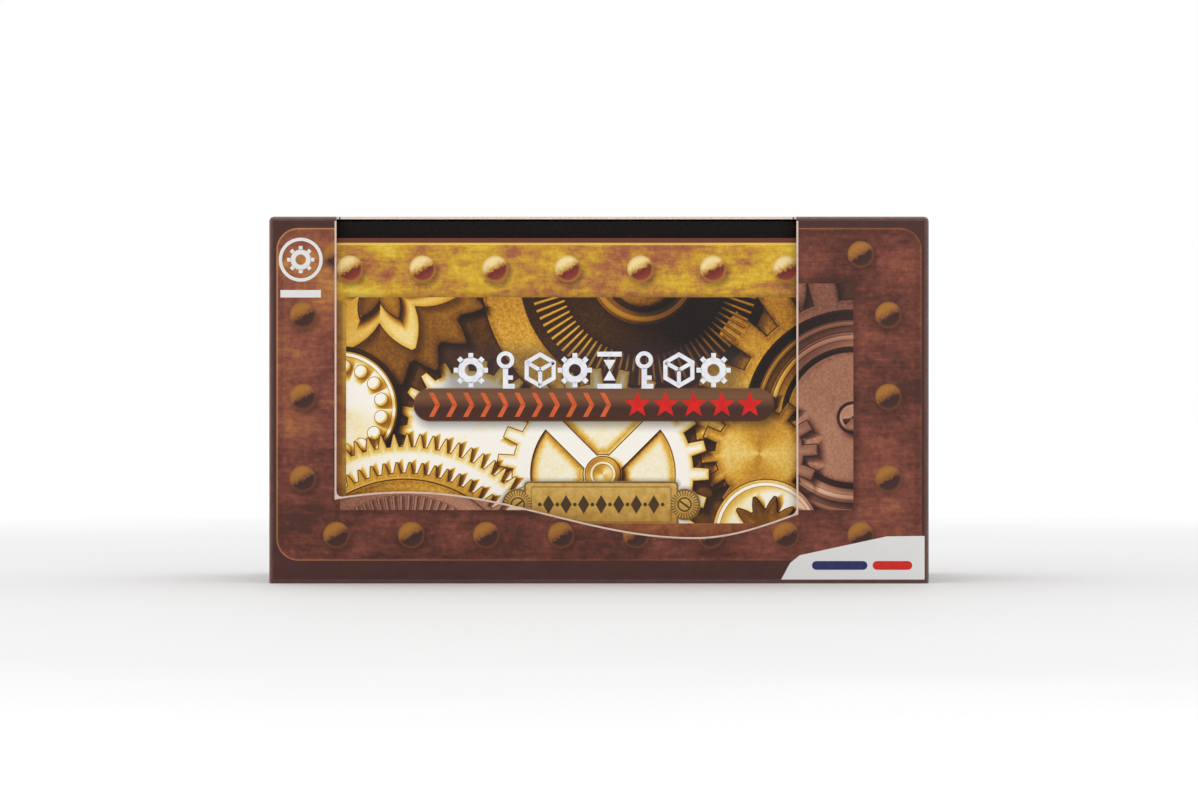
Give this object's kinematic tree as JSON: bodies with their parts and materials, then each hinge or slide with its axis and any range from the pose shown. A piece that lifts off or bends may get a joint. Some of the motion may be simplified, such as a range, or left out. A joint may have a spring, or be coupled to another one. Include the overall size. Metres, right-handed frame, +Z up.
{
  "type": "wooden puzzle box in window carton",
  "caption": "Printed card cover with a waved window, lifting off a gilt printed tray that holds a plywood puzzle box with a geared black lid.",
  "frame": {"origin": "middle of the base, on the surface that the pack stands on", "axes": "+Z up, +X to the right as the window is looked at, the window faces -Y"},
  "size_m": [0.15, 0.06, 0.0834],
  "materials": {
    "printed_cover": "rust-brown print, semi-matt coated carton board",
    "printed_tray": "gilt yellow print, semi-matt coated carton board",
    "plywood": "bare sanded birch plywood with darkened cut edges",
    "black_plywood": "black stained, matt",
    "maple": "waxed pale wood",
    "walnut": "waxed dark wood",
    "felt": "pressed wool felt",
    "brass": "turned, lightly aged",
    "steel": "turned"
  },
  "bodies": {
    "tray": {"inner_tray": "printed_tray"},
    "cover": {"outer_cover": "printed_cover"},
    "box": {"box_floor": "plywood", "front_wall": "plywood", "back_wall": "plywood", "left_wall": "plywood", "right_wall": "plywood", "floor_felt": "felt"},
    "lid": {"lid_plate": "black_plywood", "lid_core": "black_plywood", "inner_plate": "plywood", "front_guide": "plywood", "back_guide": "plywood", "keeper_plate": "plywood", "gear_washers": "brass", "idler_screw": "brass", "lid_screws": "brass", "keeper_screws": "steel"},
    "drive": {"drive_gear": "maple", "drive_axle": "brass", "drive_collar": "steel"},
    "idler": {"idler_gear": "walnut"},
    "lock": {"lock_gear": "maple", "lock_axle": "brass", "pinion": "brass"},
    "left_bolt": {"left_bolt": "walnut"},
    "right_bolt": {"right_bolt": "walnut"}
  },
  "joints": [
    {"name": "box_lift", "type": "slide", "parent": "tray", "child": "box", "axis": [0, 0, 1], "range_m": [0, 0.08]},
    {"name": "cover_lift", "type": "slide", "parent": "tray", "child": "cover", "axis": [0, 0, 1], "range_m": [0, 0.24]},
    {"name": "lid_lift", "type": "slide", "parent": "box", "child": "lid", "axis": [0, 0, 1], "range_m": [0, 0.04]},
    {"name": "drive_turn", "type": "hinge", "parent": "lid", "child": "drive", "pos_m": [-0.04527, 0.001, 0.0809], "axis": [0, 0, 1], "range_deg": [0, 70]},
    {"name": "idler_turn", "type": "hinge", "parent": "lid", "child": "idler", "pos_m": [-0.02077, -0.004, 0.0809], "axis": [0, 0, 1], "range_deg": [-46.7, 0]},
    {"name": "lock_turn", "type": "hinge", "parent": "lid", "child": "lock", "pos_m": [0.014, 0, 0.0809], "axis": [0, 0, 1], "range_deg": [0, 34.9]},
    {"name": "left_bolt_slide", "type": "slide", "parent": "lid", "child": "left_bolt", "axis": [-1, 0, 0], "range_m": [0, 0.00293]},
    {"name": "right_bolt_slide", "type": "slide", "parent": "lid", "child": "right_bolt", "axis": [1, 0, 0], "range_m": [0, 0.00293]}
  ],
  "couplings": [
    {"joint": "cover_lift", "follows": "box_lift", "ratio": 3},
    {"joint": "lid_lift", "follows": "box_lift", "ratio": 0.5},
    {"joint": "idler_turn", "follows": "lock_turn", "ratio": -1.3333},
    {"joint": "drive_turn", "follows": "lock_turn", "ratio": 2},
    {"joint": "left_bolt_slide", "follows": "lock_turn", "m_per_rad": 0.0048},
    {"joint": "right_bolt_slide", "follows": "lock_turn", "m_per_rad": 0.0048}
  ]
}
